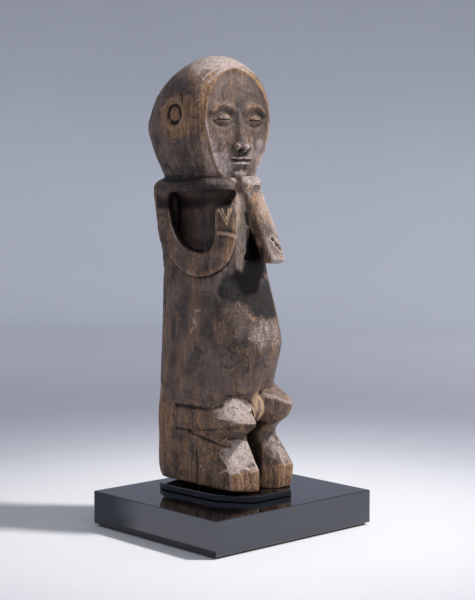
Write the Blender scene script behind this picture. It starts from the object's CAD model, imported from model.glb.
# A carved wooden ancestor figure on a polished black display base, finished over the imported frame.
# Metres, +Z up.  The figure faces -Y and its left is +X.
import math

import bpy
import numpy as np
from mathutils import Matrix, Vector, noise
from mathutils.kdtree import KDTree


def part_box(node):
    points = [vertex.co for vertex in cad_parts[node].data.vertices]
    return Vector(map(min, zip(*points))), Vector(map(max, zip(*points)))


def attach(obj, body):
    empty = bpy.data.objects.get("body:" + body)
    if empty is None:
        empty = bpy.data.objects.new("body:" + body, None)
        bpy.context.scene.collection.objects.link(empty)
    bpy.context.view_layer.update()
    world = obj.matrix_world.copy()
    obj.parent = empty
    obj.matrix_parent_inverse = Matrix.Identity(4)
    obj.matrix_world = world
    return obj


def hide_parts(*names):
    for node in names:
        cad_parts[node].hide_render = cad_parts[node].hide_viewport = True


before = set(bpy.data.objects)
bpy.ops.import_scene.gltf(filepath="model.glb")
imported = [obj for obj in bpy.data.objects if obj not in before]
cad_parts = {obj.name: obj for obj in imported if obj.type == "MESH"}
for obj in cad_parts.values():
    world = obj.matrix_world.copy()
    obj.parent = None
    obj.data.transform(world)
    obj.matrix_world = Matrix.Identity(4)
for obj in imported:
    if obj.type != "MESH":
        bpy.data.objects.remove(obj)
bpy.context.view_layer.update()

MM = 0.001
VOXEL = 1.12 * MM
MOST_TRIANGLES = 190000

CAMERA_PLACE = (-0.90742, -0.99744, 0.31914)
CAMERA_LOOK = (0.67375, 0.73502, -0.07620)
CAMERA_LENS = 85.74

FLOOR_RADIUS = 2.0
FLOOR_CURVE = 0.6
CURVE_STEPS = 10
WALL_HEIGHT = 1.2

LIT_SPOT = (0, 0, 0.2)
KEY_BEARING = math.radians(-48)
KEY_HEIGHT = math.radians(50)
KEY_DISTANCE = 3.2
SOFT_PLACE = (-0.30, -2.0, 1.35)
SOFT_LOOK = (-0.30, -2.0, 1.15)

# The face, in millimetres: its middle line, and the middle of the ears.
FACE_X = 1
EAR_Y = 27 * MM
EAR_Z = 390 * MM
BLANK_EAR_Z = 376.6 * MM


# ---- working by hand --------------------------------------------------------------------------
def put_down():
    bpy.ops.object.select_all(action="DESELECT")


def pick_up(*objects):
    put_down()
    for obj in objects:
        obj.select_set(True)
    bpy.context.view_layer.objects.active = objects[0]


def added(name):
    obj = bpy.context.object
    obj.name = obj.data.name = name
    return obj


def settle(obj):
    """Puts the object's place into its mesh."""
    pick_up(obj)
    bpy.ops.object.transform_apply(location=True, rotation=True, scale=True)
    return obj


def finish_with(obj, kind, **values):
    pick_up(obj)
    modifier = obj.modifiers.new(kind.title(), kind)
    for name, value in values.items():
        setattr(modifier, name, value)
    bpy.ops.object.modifier_apply(modifier=modifier.name)
    return obj


def all_points(obj):
    points = np.empty(len(obj.data.vertices) * 3)
    obj.data.vertices.foreach_get("co", points)
    return points.reshape(-1, 3)


def all_normals(obj):
    normals = np.empty(len(obj.data.vertices) * 3)
    obj.data.vertices.foreach_get("normal", normals)
    return normals.reshape(-1, 3)


def put_points(obj, points):
    obj.data.vertices.foreach_set("co", points.ravel())
    obj.data.update()


def fade(value, low, high):
    """0 below low, 1 above high, smooth between."""
    share = np.clip((value - low) / (high - low), 0, 1)
    return share * share * (3 - 2 * share)


def clear_of(points, line):
    """Each point's distance from a line of corners, in as many dimensions as the corners have."""
    line = np.asarray(line, float) * MM
    best = np.full(len(points), 1e9)
    for start, end in zip(line[:-1], line[1:]):
        along = end - start
        share = np.clip((points - start) @ along / (along @ along), 0, 1)
        gap = np.linalg.norm(points - start - share[:, None] * along, axis=1)
        best = np.minimum(best, gap)
    return best


def inside(points, outline):
    """True where a flat point lies inside a closed outline."""
    outline = np.asarray(outline, float) * MM
    x, y = points.T
    held = np.zeros(len(points), bool)
    for (x0, y0), (x1, y1) in zip(outline, np.roll(outline, -1, axis=0)):
        if y0 == y1:
            continue
        crosses = (y0 > y) != (y1 > y)
        held ^= crosses & (x < (x1 - x0) * (y - y0) / (y1 - y0) + x0)
    return held


# ---- camera, floor and lights -----------------------------------------------------------------
def make_camera():
    bpy.ops.object.camera_add(location=CAMERA_PLACE)
    camera = added("studio_camera")
    looking = Vector(CAMERA_LOOK)
    camera.rotation_euler = looking.to_track_quat("-Z", "Y").to_euler()
    camera.data.lens = CAMERA_LENS
    camera.data.sensor_width = 36
    camera.data.clip_start = 0.05
    camera.data.clip_end = 30
    bpy.context.scene.camera = camera


def make_floor():
    """A round studio floor that curves up into a wall all the way round."""
    put_down()
    bpy.ops.mesh.primitive_circle_add(vertices=128, radius=FLOOR_RADIUS, fill_type="TRIFAN")
    floor = added("studio_floor")
    bpy.ops.object.mode_set(mode="EDIT")
    bpy.ops.mesh.select_mode(type="EDGE")
    bpy.ops.mesh.select_all(action="DESELECT")
    bpy.ops.mesh.select_non_manifold()
    for step in range(CURVE_STEPS):
        low, high = step * math.pi / 20, (step + 1) * math.pi / 20
        rise = FLOOR_CURVE * (math.cos(low) - math.cos(high))
        grow = (FLOOR_RADIUS + FLOOR_CURVE * math.sin(high)) / (FLOOR_RADIUS + FLOOR_CURVE * math.sin(low))
        bpy.ops.mesh.extrude_edges_move(TRANSFORM_OT_translate={"value": (0, 0, rise)})
        bpy.ops.transform.resize(value=(grow, grow, 1))
    bpy.ops.mesh.extrude_edges_move(TRANSFORM_OT_translate={"value": (0, 0, WALL_HEIGHT)})
    bpy.ops.mesh.select_all(action="SELECT")
    bpy.ops.mesh.normals_make_consistent(inside=True)
    bpy.ops.object.mode_set(mode="OBJECT")
    bpy.ops.object.shade_smooth()
    return floor


def make_lights():
    """One small strong light high on the figure's left, a faint broad one in front, and a dim world."""
    target = Vector(LIT_SPOT)
    aim = Vector((math.cos(KEY_BEARING), math.sin(KEY_BEARING), math.tan(KEY_HEIGHT)))
    bpy.ops.object.light_add(type="AREA", location=target + aim.normalized() * KEY_DISTANCE)
    key = added("key_light")
    key.rotation_euler = aim.to_track_quat("Z", "Y").to_euler()
    key.data.shape = "DISK"
    key.data.size = 0.34
    key.data.energy = 112
    key.data.color = (1.0, 0.97, 0.94)
    bpy.ops.object.light_add(type="AREA", location=SOFT_PLACE)
    soft = added("soft_light")
    soft.rotation_euler = Vector(SOFT_LOOK).to_track_quat("Z", "Y").to_euler()
    soft.data.shape = "DISK"
    soft.data.size = 1.1
    soft.data.energy = 3
    soft.visible_camera = False
    key.visible_camera = False
    world = bpy.data.worlds.new("studio_air")
    world.use_nodes = True
    world.node_tree.nodes["Background"].inputs["Color"].default_value = (0.90, 0.92, 1.0, 1)
    world.node_tree.nodes["Background"].inputs["Strength"].default_value = 0.42
    bpy.context.scene.world = world
    bpy.context.scene.view_settings.view_transform = "Standard"


# ---- materials --------------------------------------------------------------------------------
class Recipe:
    """A material's nodes, laid out as they are added."""

    def __init__(self, name):
        self.material = bpy.data.materials.new(name)
        self.material.use_nodes = True
        self.tree = self.material.node_tree
        self.shader = self.tree.nodes["Principled BSDF"]
        self.place = self.add("ShaderNodeTexCoord").outputs["Object"]

    def add(self, kind, **settings):
        node = self.tree.nodes.new(kind)
        node.location = (-220 * (len(self.tree.nodes) // 4), -220 * (len(self.tree.nodes) % 4))
        for name, value in settings.items():
            setattr(node, name, value)
        return node

    def feed(self, socket, value):
        if isinstance(value, bpy.types.NodeSocket):
            self.tree.links.new(value, socket)
        else:
            socket.default_value = value

    def stretched(self, scale, turn=(0, 0, 0)):
        node = self.add("ShaderNodeMapping")
        self.feed(node.inputs["Vector"], self.place)
        node.inputs["Scale"].default_value = scale
        node.inputs["Rotation"].default_value = turn
        return node.outputs["Vector"]

    def grain(self, vector, scale, detail=4.0, rough=0.55, bend=0.0):
        node = self.add("ShaderNodeTexNoise")
        self.feed(node.inputs["Vector"], vector)
        node.inputs["Scale"].default_value = scale
        node.inputs["Detail"].default_value = detail
        node.inputs["Roughness"].default_value = rough
        node.inputs["Distortion"].default_value = bend
        return node.outputs["Fac"]

    def cells(self, vector, scale, feature="F1", jitter=1.0):
        node = self.add("ShaderNodeTexVoronoi", feature=feature)
        self.feed(node.inputs["Vector"], vector)
        node.inputs["Scale"].default_value = scale
        node.inputs["Randomness"].default_value = jitter
        return node.outputs["Distance"]

    def between(self, value, low, high, to_low=0.0, to_high=1.0):
        node = self.add("ShaderNodeMapRange", interpolation_type="SMOOTHSTEP")
        self.feed(node.inputs["Value"], value)
        for name, number in zip(("From Min", "From Max", "To Min", "To Max"), (low, high, to_low, to_high)):
            node.inputs[name].default_value = number
        return node.outputs["Result"]

    def sum(self, kind, first, second, clamp=False):
        node = self.add("ShaderNodeMath", operation=kind, use_clamp=clamp)
        self.feed(node.inputs[0], first)
        self.feed(node.inputs[1], second)
        return node.outputs[0]

    def times(self, *values):
        result = values[0]
        for value in values[1:]:
            result = self.sum("MULTIPLY", result, value)
        return result

    def blend(self, share, first, second, kind="MIX"):
        node = self.add("ShaderNodeMix", data_type="RGBA", blend_type=kind)
        self.feed(node.inputs[0], share)
        self.feed(node.inputs[6], first)
        self.feed(node.inputs[7], second)
        return node.outputs[2]

    def painted(self, name):
        return self.add("ShaderNodeAttribute", attribute_name=name).outputs["Fac"]

    def relief(self, height, depth, under=None, strength=1.0):
        node = self.add("ShaderNodeBump")
        node.inputs["Distance"].default_value = depth
        node.inputs["Strength"].default_value = strength
        self.feed(node.inputs["Height"], height)
        if under is not None:
            self.feed(node.inputs["Normal"], under)
        return node.outputs["Normal"]


def tone(red, green, blue):
    """A colour given as it looks on a screen, 0 to 255."""
    def light(value):
        value /= 255
        return value / 12.92 if value <= 0.04045 else ((value + 0.055) / 1.055) ** 2.4
    return (light(red), light(green), light(blue), 1)


def floor_paint():
    paint = Recipe("studio_floor_paint")
    split = paint.add("ShaderNodeSeparateXYZ")
    paint.feed(split.inputs[0], paint.place)
    flat = paint.add("ShaderNodeCombineXYZ")
    paint.feed(flat.inputs[0], split.outputs["X"])
    paint.feed(flat.inputs[1], split.outputs["Y"])
    reach = paint.add("ShaderNodeVectorMath", operation="LENGTH")
    paint.feed(reach.inputs[0], flat.outputs[0])
    ramp = paint.add("ShaderNodeValToRGB")
    ramp.color_ramp.interpolation = "B_SPLINE"
    shades = [
        (0.00, (0.83, 0.84, 0.86, 1)), (0.10, (0.80, 0.81, 0.84, 1)), (0.19, (0.45, 0.47, 0.53, 1)),
        (0.31, (0.27, 0.29, 0.345, 1)), (0.50, (0.36, 0.38, 0.44, 1)), (0.80, (0.47, 0.50, 0.575, 1)),
    ]
    while len(ramp.color_ramp.elements) < len(shades):
        ramp.color_ramp.elements.new(0.5)
    for element, (place, colour) in zip(ramp.color_ramp.elements, shades):
        element.position = place
        element.color = colour
    paint.feed(ramp.inputs[0], paint.between(reach.outputs["Value"], 0, 2.4))
    paint.tree.nodes[-1].interpolation_type = "LINEAR"
    height = paint.between(split.outputs["Z"], 0.2, 1.1, 1.0, 0.68)
    mottle = paint.between(paint.grain(paint.place, 2.5), 0.3, 0.7, 0.97, 1.0)
    colour = paint.blend(1.0, ramp.outputs[0], paint.times(height, mottle), "MULTIPLY")
    paint.feed(paint.shader.inputs["Base Color"], colour)
    paint.shader.inputs["Roughness"].default_value = 0.9
    paint.shader.inputs["Specular IOR Level"].default_value = 0.1
    return paint.material


def black_acrylic():
    plastic = Recipe("polished_black_acrylic")
    haze = plastic.grain(plastic.place, 14, 3)
    rub = plastic.grain(plastic.stretched((1, 1, 6), (0.3, 0.2, 0.5)), 420, 2)
    colour = plastic.blend(haze, (0.0030, 0.0030, 0.0040, 1), (0.0050, 0.0052, 0.0070, 1))
    plastic.feed(plastic.shader.inputs["Base Color"], colour)
    rough = plastic.sum("ADD", plastic.between(haze, 0.3, 0.75, 0.02, 0.05),
                        plastic.between(rub, 0.55, 0.9, 0, 0.05))
    plastic.feed(plastic.shader.inputs["Roughness"], rough)
    plastic.shader.inputs["IOR"].default_value = 1.95
    plastic.shader.inputs["Specular Tint"].default_value = (0.84, 0.87, 1.0, 1)
    plastic.feed(plastic.shader.inputs["Normal"], plastic.relief(haze, 0.4 * MM, strength=0.12))
    return plastic.material


def drawn_steel(name, scale, dark, light):
    steel = Recipe(name)
    lines = steel.grain(steel.stretched((1, 1, 0.04)), scale, 3)
    colour = steel.blend(lines, (dark, dark, dark * 1.02, 1), (light, light, light * 0.98, 1))
    steel.feed(steel.shader.inputs["Base Color"], colour)
    steel.shader.inputs["Metallic"].default_value = 1.0
    steel.feed(steel.shader.inputs["Roughness"], steel.between(lines, 0.3, 0.7, 0.26, 0.44))
    steel.feed(steel.shader.inputs["Normal"], steel.relief(lines, 0.05 * MM, strength=0.5))
    return steel.material


def brown_felt():
    felt = Recipe("pressed_brown_felt")
    fibres = felt.grain(felt.place, 1400, 3, 0.7, 1.5)
    clumps = felt.grain(felt.place, 160, 3, 0.6)
    tuft = felt.blend(fibres, tone(60, 42, 32), tone(104, 78, 60))
    colour = felt.blend(felt.between(clumps, 0.35, 0.65, 0, 0.6), tuft, tone(74, 55, 43))
    felt.feed(felt.shader.inputs["Base Color"], colour)
    felt.shader.inputs["Roughness"].default_value = 0.95
    felt.shader.inputs["Sheen Weight"].default_value = 0.35
    felt.shader.inputs["Sheen Roughness"].default_value = 0.6
    height = felt.sum("ADD", fibres, clumps)
    felt.feed(felt.shader.inputs["Normal"], felt.relief(height, 0.5 * MM, strength=0.8))
    return felt.material


def smoked_wood():
    """Old carved wood: a dark smoked skin, rubbed thin on the high places, brown grain under it."""
    wood = Recipe("smoked_carved_wood")
    worn = wood.painted("worn")
    bare = wood.painted("bare")
    hollow = wood.painted("hollow")
    crazed = wood.painted("crazed")
    rubbed = wood.painted("rubbed")

    upright = wood.stretched((1, 1, 0.10))
    tall = wood.stretched((1, 1, 0.28))
    broad = wood.grain(wood.place, 26, 4, 0.6, 0.4)
    patch = wood.grain(tall, 70, 5, 0.62, 0.6)
    line = wood.grain(upright, 420, 4, 0.6)
    fibre = wood.grain(upright, 1150, 3, 0.65)
    speck = wood.grain(wood.stretched((1, 1, 0.55)), 430, 5, 0.72, 0.9)
    pore = wood.grain(wood.place, 950, 3, 0.7)

    skin = wood.blend(wood.between(broad, 0.32, 0.68), tone(64, 53, 49), tone(130, 110, 100))
    skin = wood.blend(wood.between(patch, 0.38, 0.68, 0, 0.8), skin, tone(150, 121, 101))
    skin = wood.blend(wood.between(line, 0.42, 0.70, 0, 0.38), skin, tone(56, 48, 46))

    brown = wood.blend(wood.between(line, 0.34, 0.66), tone(176, 134, 98), tone(120, 90, 68))
    brown = wood.blend(wood.between(fibre, 0.45, 0.75, 0, 0.5), brown, tone(208, 168, 126))

    fleck_low = wood.sum("SUBTRACT", 0.622, wood.times(bare, 0.36))
    fleck_low = wood.sum("SUBTRACT", fleck_low, wood.times(wood.between(patch, 0.42, 0.7), 0.12))
    fleck = wood.sum("SUBTRACT", speck, fleck_low)
    fleck = wood.between(fleck, -0.015, 0.05)
    colour = wood.blend(fleck, skin, brown)

    bloom = wood.blend(wood.between(fibre, 0.35, 0.7), tone(226, 210, 203), tone(140, 122, 115))
    bloom = wood.blend(wood.between(speck, 0.50, 0.66, 0, 0.7), bloom, tone(84, 68, 62))
    worn_low = wood.sum("SUBTRACT", 0.78, wood.times(worn, 0.62))
    break_up = wood.sum("ADD", wood.times(patch, 0.6), wood.times(speck, 0.4))
    polish = wood.sum("SUBTRACT", break_up, worn_low)
    polish = wood.between(polish, -0.10, 0.15)
    colour = wood.blend(wood.times(polish, 0.8), colour, bloom)

    net = wood.cells(wood.stretched((1, 1, 0.8), (0.2, 0.1, 0)), 230, "DISTANCE_TO_EDGE")
    net_line = wood.between(net, 0.0, 0.07, 1, 0)
    net_line = wood.times(net_line, crazed, wood.between(patch, 0.35, 0.55))
    colour = wood.blend(wood.times(net_line, 0.75), colour, tone(38, 31, 30))

    soot = wood.between(wood.grain(wood.place, 55, 6, 0.72, 0.9), 0.45, 0.68, 0, 0.72)
    unworn = wood.sum("SUBTRACT", 1.0, worn, clamp=True)
    colour = wood.blend(wood.times(soot, unworn), colour, tone(46, 39, 38))
    colour = wood.blend(wood.between(hollow, 0.15, 0.95, 0, 0.94), colour, tone(22, 17, 18))
    tan = wood.blend(wood.between(fibre, 0.35, 0.7), tone(196, 166, 134), tone(150, 120, 94))
    colour = wood.blend(wood.between(rubbed, 0.15, 0.8), colour, tan)
    pit = wood.between(pore, 0.66, 0.74)
    colour = wood.blend(wood.times(pit, 0.6), colour, tone(32, 26, 25))
    wood.feed(wood.shader.inputs["Base Color"], colour)

    rough = wood.between(patch, 0.3, 0.7, 0.40, 0.56)
    rough = wood.sum("SUBTRACT", rough, wood.times(polish, 0.06))
    rough = wood.sum("ADD", rough, wood.times(fleck, 0.12))
    rough = wood.sum("ADD", rough, wood.times(hollow, 0.2), clamp=True)
    wood.feed(wood.shader.inputs["Roughness"], rough)
    wood.shader.inputs["IOR"].default_value = 1.5
    wood.shader.inputs["Specular IOR Level"].default_value = 0.34

    height = wood.sum("ADD", wood.times(line, 0.9), wood.times(fibre, 0.45))
    height = wood.sum("SUBTRACT", height, wood.times(fleck, 0.35))
    height = wood.sum("SUBTRACT", height, wood.times(net_line, 0.6))
    height = wood.sum("SUBTRACT", height, wood.times(pit, 0.5))
    fine = wood.relief(height, 0.7 * MM, strength=0.9)
    rough_cut = wood.sum("ADD", speck, wood.times(wood.grain(wood.place, 260, 4, 0.7, 0.5), 0.8))
    wood.feed(wood.shader.inputs["Normal"], wood.relief(rough_cut, 1.2 * MM, under=fine, strength=0.6))
    return wood.material


# ---- the carved figure ------------------------------------------------------------------------
def rough_figure():
    """A merged copy of the log, with the carved additions joined on, made one skin."""
    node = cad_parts["carved_figure"]
    figure = bpy.data.objects.new("ancestor_figure", node.data.copy())
    bpy.context.collection.objects.link(figure)
    pick_up(figure)
    bpy.ops.object.mode_set(mode="EDIT")
    bpy.ops.mesh.select_all(action="SELECT")
    bpy.ops.mesh.remove_doubles(threshold=0.02 * MM)
    bpy.ops.object.mode_set(mode="OBJECT")
    figure.data.materials.clear()
    parts = face_parts()
    parts.append(pebble(0.5, -28.5, 117.5, 6.3, 9.0, 15.5))  # the oval under the belly
    pick_up(figure, *parts)
    bpy.ops.object.join()
    finish_with(figure, "REMESH", mode="VOXEL", voxel_size=VOXEL, adaptivity=0)
    finish_with(figure, "SMOOTH", factor=0.5, iterations=2)
    trim_legs(figure)
    soften(figure)
    return figure


def soften(figure):
    """Rounds the worn edges: a little all over, more on the knees, feet, shoulders and hollows."""
    points = all_points(figure)
    count = len(points)
    x, y, z = points.T
    edges = np.empty(len(figure.data.edges) * 2, int)
    figure.data.edges.foreach_get("vertices", edges)
    links = edges.reshape(-1, 2).T
    light = evened(points, links, count, 5)
    heavy = evened(light, links, count, 26)
    legs = (1 - fade(z, 0.128, 0.140)) * fade(z, 0.058, 0.068) * 0.8
    slab = fade(z, 0.296, 0.304) * (1 - fade(z, 0.322, 0.330)) * 0.8
    shelf = fade(z, 0.232, 0.240) * (1 - fade(z, 0.256, 0.264)) * fade(x, -0.022, -0.012) * (y > -0.030)
    share = np.maximum(np.maximum(legs, slab), shelf)
    keep_crisp = (z > 0.333) & (y < 0.010)
    points = np.where(keep_crisp[:, None], points, light + (heavy - light) * share[:, None])
    drop = fade(np.abs(points[:, 0]), 0.031, 0.050) * fade(points[:, 2], 0.312, 0.331)
    points[:, 2] -= drop * fade(points[:, 2], 0.300, 0.331) * 7.0 * MM * (points[:, 2] < 0.3325)
    put_points(figure, points)


def pebble(x, y, z, half_x, half_y, half_z, turn=0.0):
    """A rounded lump, set by its centre and half sizes in millimetres."""
    put_down()
    bpy.ops.mesh.primitive_uv_sphere_add(segments=32, ring_count=16, radius=MM)
    lump = added("lump")
    lump.scale = (half_x, half_y, half_z)
    lump.rotation_euler = (0, turn, 0)
    lump.location = (x * MM, y * MM, z * MM)
    return settle(lump)


def face_parts():
    """The lids, the wings and tip of the nose, the cheeks and the chin, on plain proportions."""
    parts = []
    for side in (-1, 1):
        parts.append(pebble(1 + side * 19.8, -6.0, 385.5, 10.4, 7.8, 5.4, side * 0.05))
        parts.append(pebble(1 + side * 7.6, -13.5, 360.2, 3.9, 6.0, 4.4))
        parts.append(pebble(1 + side * 22, -2.0, 364, 15, 11.2, 13))
    parts.append(pebble(1, -15.5, 359.6, 5.2, 6.4, 4.8))
    parts.append(pebble(1, -4.5, 334, 11, 10.5, 7.5))
    return parts


def facing(points, degrees):
    """Across and up on the upright plane that faces this compass direction, from -Y towards +X."""
    turn = math.radians(degrees)
    across = points[:, 0] * math.cos(turn) + points[:, 1] * math.sin(turn)
    return np.stack([across, points[:, 2]], axis=1)


def turned_to(normals, degrees, low=0.1, high=0.4):
    turn = math.radians(degrees)
    towards = normals[:, 0] * math.sin(turn) - normals[:, 1] * math.cos(turn)
    return fade(towards, low, high)


ARM_BAND = [
    (-80, 319), (-80, 280), (-66, 269), (-57, 256), (-49, 247.5), (-40, 242), (-30, 240), (-20, 241.5),
    (-10, 246.5), (-3, 254), (1.5, 263), (3.3, 272), (3.3, 288), (1, 305.5), (-13, 305), (-18, 312),
    (-50, 319),
]
ARM_HOLLOW = [
    (-60, 319), (-59, 302), (-57, 288), (-52, 276), (-46, 268), (-39, 263.5), (-31, 261.5), (-23, 262),
    (-17.5, 265.5), (-15, 271), (-14, 304), (-1, 306), (5, 319),
]
ARM_LOWER_EDGE = [
    (-66, 269), (-57, 256), (-49, 247.5), (-40, 242), (-30, 240), (-20, 241.5), (-10, 246.5), (-3, 254),
    (1.5, 263), (3.3, 272),
]


SCRATCHES = [
    [(-38.4, 204.6), (-34, 197), (-30, 192.3), (-24, 189.4), (-18.7, 189.6), (-12, 193.5), (-8.5, 198.9)],
    [(-33, 207.5), (-27, 209.0), (-21, 208.2)],
    [(-28, 64.6), (-20.5, 59.6), (-13.1, 52.6)],
    [(-22, 417), (-12, 428), (0, 434)],
    [(-26, 421), (-16, 431), (-4, 437)],
]


def sculpt(figure):
    """Pushes the skin in and out as the knife did, and notes where the wood is worn, bare or dark."""
    points = all_points(figure)
    normals = all_normals(figure)
    count = len(points)
    push = np.zeros(count)
    bare = np.zeros(count)
    rubbed = np.zeros(count)
    hollow = np.zeros(count)

    def cut(line, degrees, width, depth, mark=None, amount=1.0, limits=(0.15, 0.45)):
        nonlocal push
        gap = clear_of(facing(points, degrees), line)
        share = np.clip(1 - gap / (width * MM), 0, 1)
        share = share * share * (3 - 2 * share) * turned_to(normals, degrees, *limits)
        push -= share * depth * MM
        if mark is not None:
            np.maximum(mark, share * amount, out=mark)

    # ---- face and head
    x, y, z = points.T
    front = fade(-normals[:, 1], 0.05, 0.45) * fade(z, 0.322, 0.330) * (y < 0.012)
    egg = np.where(z > 0.386, (z - 0.386) / 0.0455, (0.386 - z) / 0.0605)
    egg = np.hypot((x - MM) / np.where(z > 0.386, 0.0385, 0.0385 - 0.10 * (0.386 - z)), egg)
    rim = np.exp(-((egg - 1.035) / 0.040) ** 2) * front
    field = 1 - fade(egg, 0.88, 1.0)
    push += rim * 1.5 * MM - field * front * 0.9 * MM
    np.maximum(bare, rim * 0.95, out=bare)
    np.maximum(bare, np.exp(-((egg - 1.12) / 0.07) ** 2) * front * 0.75, out=bare)
    for side in (-1, 1):
        brow = [(1 + side * 6, 393.5), (1 + side * 12, 397.5), (1 + side * 20, 399), (1 + side * 28, 397),
                (1 + side * 33, 392)]
        cut(brow, 0, 5.0, -2.6)
        socket = np.hypot((x - (1 + side * 20) * MM) / (14 * MM), (z - 0.3855) / (8.5 * MM))
        push -= (1 - fade(socket, 0.6, 1.15)) * fade(socket, 0.35, 0.85) * front * 1.6 * MM
        upper = [(1 + side * 9.6, 384.6), (1 + side * 13.5, 388.6), (1 + side * 19.5, 390.2),
                 (1 + side * 25.5, 388.6), (1 + side * 30, 385)]
        lower = [(1 + side * 9.6, 384.6), (1 + side * 14, 381.4), (1 + side * 20, 380.4),
                 (1 + side * 26, 381.6), (1 + side * 30, 385)]
        cut(upper, 0, 1.7, -1.1)
        cut(lower, 0, 1.6, -0.8)
        slit = [(1 + side * 12, 384.8), (1 + side * 16, 384.2), (1 + side * 20, 384), (1 + side * 24, 384.2),
                (1 + side * 28, 385)]
        cut(slit, 0, 1.5, 1.6, hollow, 0.9)
        nostril = np.hypot((x - (1 + side * 4.2) * MM) / (2.4 * MM), (z - 0.3556) / (2.2 * MM))
        push -= (1 - fade(nostril, 0.3, 1.1)) * 1.6 * MM * (y < -0.008)
        ear = np.hypot((y - EAR_Y) / (15 * MM), (z - EAR_Z) / (14.2 * MM))
        beside = fade(side * normals[:, 0], 0.3, 0.7) * (side * (x - MM) > 0.036)
        blank = np.hypot((y - EAR_Y) / (10 * MM), (z - BLANK_EAR_Z) / (13 * MM))
        push -= (1 - fade(blank, 0.80, 1.12)) * beside * 1.9 * MM
        push += np.exp(-((ear - 0.92) / 0.16) ** 2) * beside * 1.5 * MM
        push -= (1 - fade(ear, 0.60, 0.84)) * beside * 2.0 * MM
        push += (1 - fade(ear, 0.28, 0.52)) * beside * 1.9 * MM
        np.maximum(bare, np.exp(-((ear - 0.85) / 0.42) ** 2) * beside * 0.9, out=bare)
        np.maximum(rubbed, np.exp(-((ear - 0.95) / 0.14) ** 2) * beside * 0.5, out=rubbed)
    cut([(-12, 347.3), (-6, 346.7), (1, 347.1), (8, 346.7), (14, 347.3)], 0, 1.4, 1.5, hollow, 0.9)
    cut([(-7, 338.6), (1, 337.8), (9, 338.6)], 0, 2.4, 1.0)
    cut([(1, 355), (1, 351.5)], 0, 2.2, 0.6)

    # ---- right arm: the band stands proud, deepest along its lower edge
    plane = facing(points, -45)
    towards = turned_to(normals, -45, 0.1, 0.5)
    opening = inside(plane, ARM_HOLLOW)
    band = inside(plane, ARM_BAND) & ~opening
    edge = clear_of(plane, ARM_LOWER_EDGE)
    proud = band * fade(0.013 - edge, -0.002, 0.011) * fade(0.330 - z, 0.02, 0.06) * towards
    push += proud * 1.7 * MM
    under = (~band) * fade(0.0035 - edge, 0, 0.0030) * towards * (z < 0.275)
    push -= under * 1.4 * MM
    np.maximum(hollow, under * 0.8, out=hollow)
    np.maximum(bare, band * fade(z, 0.235, 0.262) * towards * 0.22, out=bare)
    np.maximum(hollow, opening * fade(z, 0.255, 0.270) * (x < -0.004) * 0.5, out=hollow)
    for line in ([(-10.6, 302.6), (-6.6, 295), (-2.6, 288.2), (-0.8, 296), (1.2, 303.6)],
                 [(-7.4, 302.6), (-5.0, 297), (-2.9, 293.0), (-2.0, 298), (-1.2, 303)]):
        cut(line, -45, 1.25, 0.9, rubbed, 0.95)
    cut([(-11.5, 279.8), (-4, 279.4), (3, 276.4)], -45, 2.2, -1.3, rubbed, 0.55)
    cut([(-11.5, 283.4), (-4, 283.0), (3, 280.4)], -45, 2.6, 0.9)

    # ---- left hand: the same cuts, under the chin
    for line in ([(8.7, 326.4), (12.2, 322), (15.5, 318.6), (17.6, 323), (19.5, 327)],
                 [(12.2, 326.4), (14.2, 323.6), (15.6, 322), (16.8, 325)]):
        cut(line, -45, 1.25, 0.9, rubbed, 0.95)

    # ---- worm holes by the left elbow
    for line in ([(38.4, 275.4), (39.8, 273.6)], [(41.5, 271.4), (43.2, 268.6), (44.4, 268.9)],
                 [(45.4, 266.8), (46.8, 265.4)]):
        cut(line, -45, 1.6, 2.4, hollow, 1.0)

    # ---- thighs: a shallow step along the upper edge and one under the knee
    for degrees, side in ((-45, 1), (45, -1)):
        top = ((-53, 117), (-38, 117.4), (-24, 117.6), (-9, 122))
        cut([(side * s, h) for s, h in top], degrees, 5.0, 2.2)
        cut([(side * s, h) for s, h in ((-53, 95), (-38, 96), (-15, 99.2), (8, 103.5))], degrees, 3.6, 1.5)
        bar = facing(points, degrees) * [side, 1]
        swell = np.exp(-((bar[:, 1] - 0.1075 - 0.10 * (bar[:, 0] + 0.03)) / 0.0085) ** 2)
        push += swell * turned_to(normals, degrees) * fade(bar[:, 0], -0.056, -0.040) * 1.5 * MM
        cut([(side * s, h) for s, h in ((-40, 93.5), (-24, 89.6), (0, 83.6))], degrees, 3.6, 1.6)

    # ---- drying cracks
    cut([(-32.5, 76), (-31.8, 62), (-32.2, 46)], -45, 1.5, 2.6, hollow, 1.0)
    cut([(-45.8, 409), (-45.0, 398), (-46.2, 386)], -45, 1.4, 1.8, hollow, 0.9)
    for degrees, line in (
        (180, [(9, 312), (8, 270), (9.5, 214), (8.4, 176)]),
        (180, [(-17, 150), (-16, 112), (-17.5, 62), (-16.6, 40)]),
        (180, [(-4, 428), (-5.4, 404), (-4.2, 381)]),
        (90, [(24, 238), (23, 190), (24.6, 158)]),
        (90, [(38, 92), (37.4, 62), (38.4, 42)]),
    ):
        cut(line, degrees, 1.35, 2.4, hollow, 0.95)

    # ---- toes: short upright cuts on the front of each foot
    for middle in (-38, -32, -26.5, -21, -15, 15, 20.5, 26, 31.5, 37.5):
        line = [(middle, 40), (middle + 0.5, 50), (middle - 0.4, 59)]
        cut(line, 0, 1.7, 0.75, rubbed, 0.35, (0.5, 0.8))
    return points + normals * push[:, None], bare, rubbed, hollow


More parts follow.
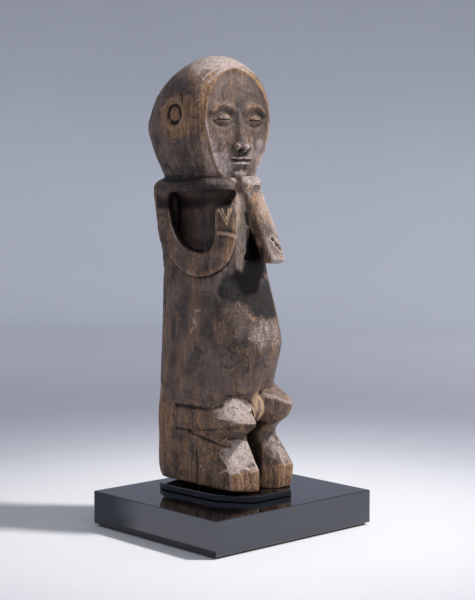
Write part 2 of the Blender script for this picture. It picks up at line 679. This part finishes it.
def trim_legs(figure):
    """Slopes the top of the right knee down to its tip and cuts the inner corner of the left foot."""
    points = all_points(figure)
    x, y, z = points.T
    across = (x - y) * 0.7071
    over = np.clip(z - 0.1035, 0, None)
    slope = fade(across, -0.012, 0.020) * (x < 0.002) * (y < -0.030) * fade(0.140 - z, 0.0, 0.012)
    points[:, 2] = z - over * slope * 0.62
    chamfer = -0.0475 + 1.05 * np.clip(0.0215 - x, 0, None)
    foot = (x > 0.004) & (x < 0.0215) & (z < 0.088)
    above = fade(z, 0.074, 0.088)
    points[:, 1] = np.where(foot, np.maximum(y, chamfer * (1 - above) - 0.05 * above), y)
    put_points(figure, points)


def facet(points, normals, size, keep, limit, seed):
    """Flattens small patches, as a blade leaves them: each patch leans towards one plane."""
    rng = np.random.default_rng(seed)
    stretch = np.array([1, 1, 0.6])
    order = rng.permutation(len(points))
    grid = {}
    seeds = []
    for index in order:
        key = tuple(np.floor(points[index] * stretch / size).astype(int))
        if key in grid:
            continue
        grid[key] = True
        seeds.append(index)
    places = points[seeds] * stretch + normals[seeds] * size * 0.8
    tree = KDTree(len(places))
    for number, place in enumerate(places):
        tree.insert(place, number)
    tree.balance()
    spots = points * stretch + normals * size * 0.8
    patch = np.fromiter((tree.find(spot)[1] for spot in spots), int, len(spots))
    held = np.bincount(patch, minlength=len(seeds)).clip(1)
    middle = np.stack([np.bincount(patch, points[:, k], len(seeds)) / held for k in range(3)], axis=1)
    lean = np.stack([np.bincount(patch, normals[:, k], len(seeds)) / held for k in range(3)], axis=1)
    lean /= np.linalg.norm(lean, axis=1).clip(1e-6)[:, None]
    move = ((middle[patch] - points) * lean[patch]).sum(1)
    agree = fade((normals * lean[patch]).sum(1), 0.75, 0.95)
    return points + lean[patch] * (np.clip(move, -limit, limit) * keep * agree)[:, None]


def evened(values, links, count, passes):
    """Averages values over neighbouring points, again and again."""
    first, second = links
    share = np.bincount(first, minlength=count) + np.bincount(second, minlength=count) + 1
    values = values.copy()
    for _ in range(passes):
        total = values.copy()
        for k in range(values.shape[1]):
            total[:, k] += np.bincount(first, values[second, k], count)
            total[:, k] += np.bincount(second, values[first, k], count)
        values = total / share[:, None]
    return values


def paint(figure, bare, rubbed, hollow):
    """Writes the wear on the skin: rubbed high places, dark hollows, bare brown wood and crazing."""
    points = all_points(figure)
    normals = all_normals(figure)
    count = len(points)
    edges = np.empty(len(figure.data.edges) * 2, int)
    figure.data.edges.foreach_get("vertices", edges)
    links = edges.reshape(-1, 2).T
    near = evened(points, links, count, 6)
    crown = ((points - near) * normals).sum(1)
    wide = evened(near, links, count, 60)
    swell = ((points - wide) * normals).sum(1)
    x, y, z = points.T
    cloud = np.array([noise.noise(Vector(p) * 45) for p in points])
    fine = np.array([noise.noise(Vector((p[0], p[1], p[2] * 0.4)) * 210) for p in points])
    edge = fade(crown, 0.05 * MM, 0.22 * MM) * 0.8 + fade(swell, 0.5 * MM, 2.2 * MM) * 0.35
    dip = fade(-crown, 0.05 * MM, 0.25 * MM) * 0.7 + fade(-swell, 0.5 * MM, 2.5 * MM) * 0.6

    up = normals[:, 2]
    front = fade(-normals[:, 1], 0.25, 0.75)
    # the crown, the knees, the insteps, the chest, the forearm and the swell of the belly are handled
    worn = fade(z, 0.415, 0.440) * fade(up, 0.35, 0.8) * fade(-y, -0.055, 0.0)
    worn = np.maximum(worn, 0.85 * (z < 0.130) * (z > 0.098) * fade(up, 0.20, 0.7) * fade(-y, 0.008, 0.036))
    worn = np.maximum(worn, 0.85 * (z < 0.093) * (z > 0.056) * fade(up, 0.15, 0.6) * fade(-y, 0.016, 0.034))
    across = facing(points, -45)[:, 0]
    # the panel over the right arm and the right fist are sooty
    slab = fade(z, 0.300, 0.304) * (1 - fade(z, 0.3330, 0.3350))
    slab = slab * fade(0.004 - across, 0, 0.006) * (y < 0.055)
    worn = worn * (1 - slab)
    hollow = np.maximum(hollow, (0.58 + 0.42 * fade(0.318 - z, 0, 0.010)) * slab * (0.85 + 0.5 * cloud))
    edge = edge * (1 - slab)
    fist = fade(across, -0.014, -0.010) * fade(0.0045 - across, 0, 0.003)
    fist = fist * fade(z, 0.262, 0.270) * (z < 0.306)
    hollow = np.maximum(hollow, 0.60 * fist * (x < 0) * (0.9 + 0.5 * cloud))
    hollow = hollow * (1 - rubbed.clip(0, 1) * (z > 0.25))
    edge = edge * (1 - 0.6 * fist)
    strip = fade(z, 0.212, 0.235) * fade(0.330 - z, 0, 0.02) * fade(across, 0.0035, 0.0055)
    worn = np.maximum(worn, 0.95 * front * strip * fade(0.021 - across, 0, 0.006) * fade(0.002 - x, 0, 0.006))
    light = 0.60 * front * strip * fade(z, 0.238, 0.250) * fade(0.015 - across, 0, 0.004)
    rubbed = np.maximum(rubbed, light * (x < 0.004) * (0.8 + 0.4 * cloud))
    belly = np.exp(-((z - 0.192) / 0.022) ** 2) * fade(-normals[:, 1], 0.2, 0.8) * fade(x, -0.040, -0.012)
    worn = np.maximum(worn, 0.48 * belly)
    worn = np.maximum(worn, 0.55 * (z > 0.325) * front * (y < 0.01) * fade(-z, -0.395, -0.350))
    forearm = (z > 0.258) * (z < 0.326) * (y < -0.030) * (x > -0.004)
    bare = np.maximum(bare, 0.75 * forearm * fade(cloud, -0.15, 0.25))
    forearm = (z > 0.250) * (z < 0.325) * fade(-y, 0.024, 0.032) * fade(x, -0.006, 0.004)
    worn = np.maximum(worn, 0.50 * front * forearm)
    for line in SCRATCHES:
        mark = 1 - fade(clear_of(facing(points, -45), line), 0.35 * MM, 1.0 * MM)
        worn = np.maximum(worn, 0.85 * mark * turned_to(normals, -45))
    worn = worn * (1 - 0.4 * (x > 0.006) * (z < 0.135))
    worn = np.clip(worn * (0.85 + 0.5 * cloud) + 0.45 * edge * (0.6 + 0.8 * cloud.clip(0)), 0, 1)

    back_right = fade(-x, 0.024, 0.040) * fade(y, 0.046, 0.060) * fade(0.150 - z, 0.0, 0.05)
    bare = np.maximum(bare, back_right)
    bare = np.maximum(bare, 0.9 * fade(0.0475 - z, 0, 0.006) * fade(-up, 0.0, 0.3))
    lap = fade(z, 0.236, 0.262) * (z <= 0.30) * (y > -0.030) * (x > -0.010) * front
    hollow = np.maximum(hollow, 0.7 * lap * (1 - fade(-y, 0.020, 0.028)))
    bare = np.maximum(bare, 0.55 * fade(y, 0.052, 0.062) * fade(normals[:, 1], 0.3, 0.8))
    bare = np.maximum(bare, 0.36 * fade(-x, 0.026, 0.036) * fade(0.128 - z, 0.0, 0.02))
    bare = np.maximum(bare, 0.55 * (z < 0.0625) * front)
    bare = np.maximum(bare, edge * 0.32)
    between_legs = (1 - fade(np.abs(x), 0.006, 0.010)) * (z < 0.104) * (z > 0.034)
    between_legs = between_legs * np.maximum(fade(np.abs(normals[:, 0]), 0.4, 0.7), y > -0.030)
    hollow = np.maximum(hollow, 0.85 * between_legs * (y < 0.010))
    bare = np.clip(bare + 0.25 * fine * bare, 0, 1)
    boss = np.hypot((x - 0.0005) / 0.0070, (z - 0.1175) / 0.0160)
    rubbed = np.maximum(rubbed, (1 - fade(boss, 0.75, 1.0)) * (y < -0.012) * front)
    chip = facing(points, -45) - np.array([-0.0365, 0.1894])
    chip = np.hypot((chip[:, 0] - 0.35 * chip[:, 1]) / 0.0014, chip[:, 1] / 0.0044)
    rubbed = np.maximum(rubbed, (1 - fade(chip, 0.6, 1.05)) * turned_to(normals, -45))
    plane = facing(points, -45)
    smoke = np.minimum(clear_of(plane, [(22, 262), (20, 240)]) * 1.5,
                       clear_of(plane, [(4, 231), (14, 226), (24, 222), (31, 215)]))
    smoke = 1 - fade(smoke + 0.006 * cloud + 0.003 * fine, 0.0105, 0.0175)
    smoke = smoke * turned_to(normals, -40) * (y < -0.010)
    hollow = np.maximum(hollow, 0.95 * smoke.clip(0, 1))
    shade = fade(z, 0.236, 0.244) * (z < 0.280) * fade(across, 0.012, 0.017) * (y > -0.036) * (y < 0.0)
    hollow = np.maximum(hollow, 0.95 * shade)
    worn = worn * (1 - shade)
    worn = worn * (1 - 0.8 * smoke.clip(0, 1))
    ear_side = np.hypot((y - 0.020) / 0.032, (z - 0.388) / 0.028)
    ear_side = (1 - fade(ear_side, 0.45, 1.0)) * fade(np.abs(normals[:, 0]), 0.4, 0.8) * (z > 0.335)
    bare = np.maximum(bare, 0.75 * ear_side)
    hollow = np.clip(np.maximum(hollow, dip * (1 - 0.5 * front * (z > 0.33))), 0, 1)
    crazed = np.clip(fade(-normals[:, 1], 0.1, 0.6) * (z > 0.15) * (z < 0.24)
                     + (z > 0.33) * front * 0.45 + 0.25 * fade(cloud, 0.1, 0.4), 0, 1)
    for name, values in (("worn", worn), ("bare", bare), ("rubbed", rubbed), ("hollow", hollow),
                         ("crazed", crazed)):
        layer = figure.data.attributes.new(name, "FLOAT", "POINT")
        layer.data.foreach_set("value", values.astype(np.float32))


def carve_figure(material):
    figure = rough_figure()
    points, bare, rubbed, hollow = sculpt(figure)
    put_points(figure, points)
    normals = all_normals(figure)
    smooth_face = 1 - fade(points[:, 2], 0.326, 0.334) * (points[:, 1] < 0.004)
    cut = facet(points, normals, 14 * MM, 0.7, 0.6 * MM, 7)
    calm = fade(points[:, 2], 0.125, 0.150) * (1 - fade(points[:, 1], 0.035, 0.055)) * 0.6
    points = points + (cut - points) * (smooth_face * (1 - calm))[:, None]
    ripple = np.array([noise.fractal(Vector((p[0], p[1], p[2] * 0.35)) * 130, 1.0, 2.0, 3) for p in points])
    points = points + normals * (ripple * 0.16 * MM)[:, None]
    put_points(figure, points)
    paint(figure, bare, rubbed, hollow)
    if len(figure.data.polygons) * 2 > MOST_TRIANGLES:
        finish_with(figure, "DECIMATE", ratio=MOST_TRIANGLES / 2 / len(figure.data.polygons))
    pick_up(figure)
    bpy.ops.object.shade_smooth()
    figure.data.materials.clear()
    figure.data.materials.append(material)
    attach(figure, "figure")
    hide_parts("carved_figure")
    return figure


# ---- the felt under the base ------------------------------------------------------------------
def lay_felt(material):
    low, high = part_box("felt_pad")
    size = high - low
    put_down()
    bpy.ops.mesh.primitive_grid_add(x_subdivisions=120, y_subdivisions=106, size=1,
                                    location=(0, 0, (low.z + high.z) / 2))
    felt = added("base_felt")
    felt.scale = (size.x, size.y, 1)
    settle(felt)
    points = all_points(felt)
    rim = np.maximum(np.abs(points[:, 0]) / (size.x / 2), np.abs(points[:, 1]) / (size.y / 2)) > 0.999
    fuzz = np.array([noise.noise(Vector(p) * 420) + 0.6 * noise.noise(Vector(p) * 130) for p in points])
    points[:, :2] *= (1 - rim * (0.0022 + 0.0020 * np.abs(fuzz)))[:, None]
    put_points(felt, points)
    finish_with(felt, "SOLIDIFY", thickness=size.z, offset=0)
    finish_with(felt, "BEVEL", width=0.35 * MM, segments=2, limit_method="ANGLE")
    pick_up(felt)
    bpy.ops.object.shade_smooth_by_angle(angle=math.radians(50))
    felt.data.materials.clear()
    felt.data.materials.append(material)
    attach(felt, "display_base")
    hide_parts("felt_pad")
    return felt


def dress(names, material):
    for name in names:
        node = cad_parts[name]
        for place in node.material_slots:
            place.material = material
        if not node.material_slots:
            node.data.materials.append(material)


make_camera()
floor = make_floor()
floor.data.materials.append(floor_paint())
make_lights()
carve_figure(smoked_wood())
lay_felt(brown_felt())
dress(["display_block", "riser_plate"], black_acrylic())
dress(["mounting_pin_1", "mounting_pin_2"], drawn_steel("blackened_steel_pin", 900, 0.035, 0.085))
screws = [f"riser_screw_{number}" for number in (1, 2, 3, 4)]
dress(screws, drawn_steel("turned_steel_screw", 1500, 0.40, 0.62))

bpy.context.view_layer.update()
